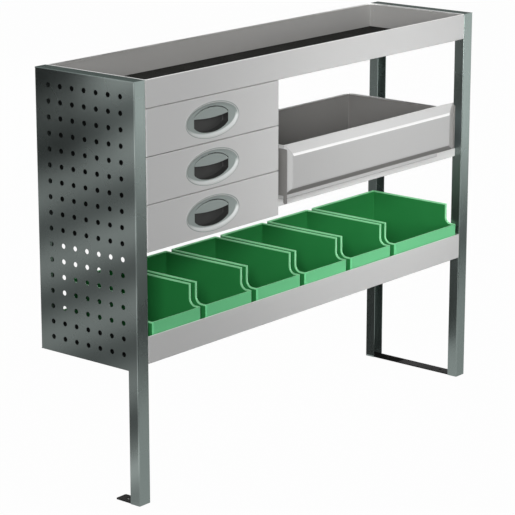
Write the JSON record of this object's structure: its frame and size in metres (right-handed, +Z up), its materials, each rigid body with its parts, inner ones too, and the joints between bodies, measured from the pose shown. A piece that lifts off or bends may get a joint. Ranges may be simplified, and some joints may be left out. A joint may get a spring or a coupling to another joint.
{
  "type": "van shelving unit",
  "caption": "Van racking unit: end frames carry a matted top tray, a block of latching drawers, a pull-out drawer and a lower shelf of open bins, over wheel-arch space.",
  "frame": {"origin": "floor level, in the middle of the unit's outer box", "axes": "+X to the right along the unit as seen from the front, +Y to the back (van wall), +Z up"},
  "size_m": [1.33, 0.3344, 1.012],
  "materials": {
    "frame_paint": "semi-gloss anthracite powder coat",
    "black_paint": "black paint",
    "grey_paint": "semi-gloss light grey powder coat",
    "rubber": "fine ribbed",
    "zinc_steel": "zinc plated",
    "nylon": "moulded",
    "handle_plastic": "satin moulded",
    "cap_plastic": "moulded",
    "green_plastic": "moulded"
  },
  "bodies": {
    "frame": {"left_front_post": "frame_paint", "left_rear_post": "frame_paint", "left_top_rail": "frame_paint", "left_bottom_rail": "frame_paint", "left_side_panel": "frame_paint", "right_front_post": "frame_paint", "right_rear_post": "frame_paint", "right_top_rail": "frame_paint", "left_foot_plate": "black_paint", "right_floor_bar": "black_paint", "top_tray": "grey_paint", "lower_shelf": "grey_paint", "middle_shelf": "grey_paint", "block_left_side": "grey_paint", "block_right_side": "grey_paint", "block_back": "grey_paint", "block_floor": "grey_paint", "top_tray_mat": "rubber", "block_rails": "zinc_steel", "latch_keepers": "zinc_steel", "frame_rivets": "zinc_steel", "pullout_rails": "zinc_steel", "pullout_rail_bracket": "zinc_steel", "rail_glides": "nylon"},
    "upper_drawer": {"upper_drawer_front": "grey_paint", "upper_drawer_box": "grey_paint", "upper_drawer_runners": "zinc_steel", "upper_drawer_screws": "zinc_steel", "upper_handle_bezel": "handle_plastic", "upper_paddle_pin": "zinc_steel", "upper_latch_spring": "zinc_steel"},
    "upper_paddle": {"upper_handle_paddle": "handle_plastic"},
    "middle_drawer": {"middle_drawer_front": "grey_paint", "middle_drawer_box": "grey_paint", "middle_drawer_runners": "zinc_steel", "middle_drawer_screws": "zinc_steel", "middle_handle_bezel": "handle_plastic", "middle_paddle_pin": "zinc_steel", "middle_latch_spring": "zinc_steel"},
    "middle_paddle": {"middle_handle_paddle": "handle_plastic"},
    "lower_drawer": {"lower_drawer_front": "grey_paint", "lower_drawer_box": "grey_paint", "lower_drawer_runners": "zinc_steel", "lower_drawer_screws": "zinc_steel", "lower_handle_bezel": "handle_plastic", "lower_paddle_pin": "zinc_steel", "lower_latch_spring": "zinc_steel"},
    "lower_paddle": {"lower_handle_paddle": "handle_plastic"},
    "pullout_drawer": {"pullout_box": "grey_paint", "pullout_front": "grey_paint", "pullout_left_end_cap": "cap_plastic", "pullout_right_end_cap": "cap_plastic", "pullout_runners": "zinc_steel", "pullout_screws": "zinc_steel"},
    "bin_1": {"bin_1": "green_plastic"},
    "bin_2": {"bin_2": "green_plastic"},
    "bin_3": {"bin_3": "green_plastic"},
    "bin_4": {"bin_4": "green_plastic"},
    "bin_5": {"bin_5": "green_plastic"},
    "bin_6": {"bin_6": "green_plastic"}
  },
  "joints": [
    {"name": "upper_drawer_slide", "type": "slide", "parent": "frame", "child": "upper_drawer", "axis": [0, -1, 0], "range_m": [0, 0.21]},
    {"name": "upper_paddle_hinge", "type": "hinge", "parent": "upper_drawer", "child": "upper_paddle", "pos_m": [-0.3967, -0.1348, 0.9038], "axis": [-1, 0, 0], "range_deg": [0, 16], "stiffness_Nm_per_rad": 0.4, "springref_deg": -5.73, "deforming": ["upper_latch_spring"]},
    {"name": "middle_drawer_slide", "type": "slide", "parent": "frame", "child": "middle_drawer", "axis": [0, -1, 0], "range_m": [0, 0.21]},
    {"name": "middle_paddle_hinge", "type": "hinge", "parent": "middle_drawer", "child": "middle_paddle", "pos_m": [-0.3967, -0.1348, 0.7916], "axis": [-1, 0, 0], "range_deg": [0, 16], "stiffness_Nm_per_rad": 0.4, "springref_deg": -5.73, "deforming": ["middle_latch_spring"]},
    {"name": "lower_drawer_slide", "type": "slide", "parent": "frame", "child": "lower_drawer", "axis": [0, -1, 0], "range_m": [0, 0.21]},
    {"name": "lower_paddle_hinge", "type": "hinge", "parent": "lower_drawer", "child": "lower_paddle", "pos_m": [-0.3967, -0.1348, 0.6794], "axis": [-1, 0, 0], "range_deg": [0, 16], "stiffness_Nm_per_rad": 0.4, "springref_deg": -5.73, "deforming": ["lower_latch_spring"]},
    {"name": "pullout_slide", "type": "slide", "parent": "frame", "child": "pullout_drawer", "axis": [0, -1, 0], "range_m": [0, 0.21]},
    {"name": "bin_1_lift", "type": "slide", "parent": "frame", "child": "bin_1", "axis": [0, 0, 1], "range_m": [0, 0.09]},
    {"name": "bin_2_lift", "type": "slide", "parent": "frame", "child": "bin_2", "axis": [0, 0, 1], "range_m": [0, 0.09]},
    {"name": "bin_3_lift", "type": "slide", "parent": "frame", "child": "bin_3", "axis": [0, 0, 1], "range_m": [0, 0.09]},
    {"name": "bin_4_lift", "type": "slide", "parent": "frame", "child": "bin_4", "axis": [0, 0, 1], "range_m": [0, 0.09]},
    {"name": "bin_5_lift", "type": "slide", "parent": "frame", "child": "bin_5", "axis": [0, 0, 1], "range_m": [0, 0.09]},
    {"name": "bin_6_lift", "type": "slide", "parent": "frame", "child": "bin_6", "axis": [0, 0, 1], "range_m": [0, 0.09]}
  ]
}
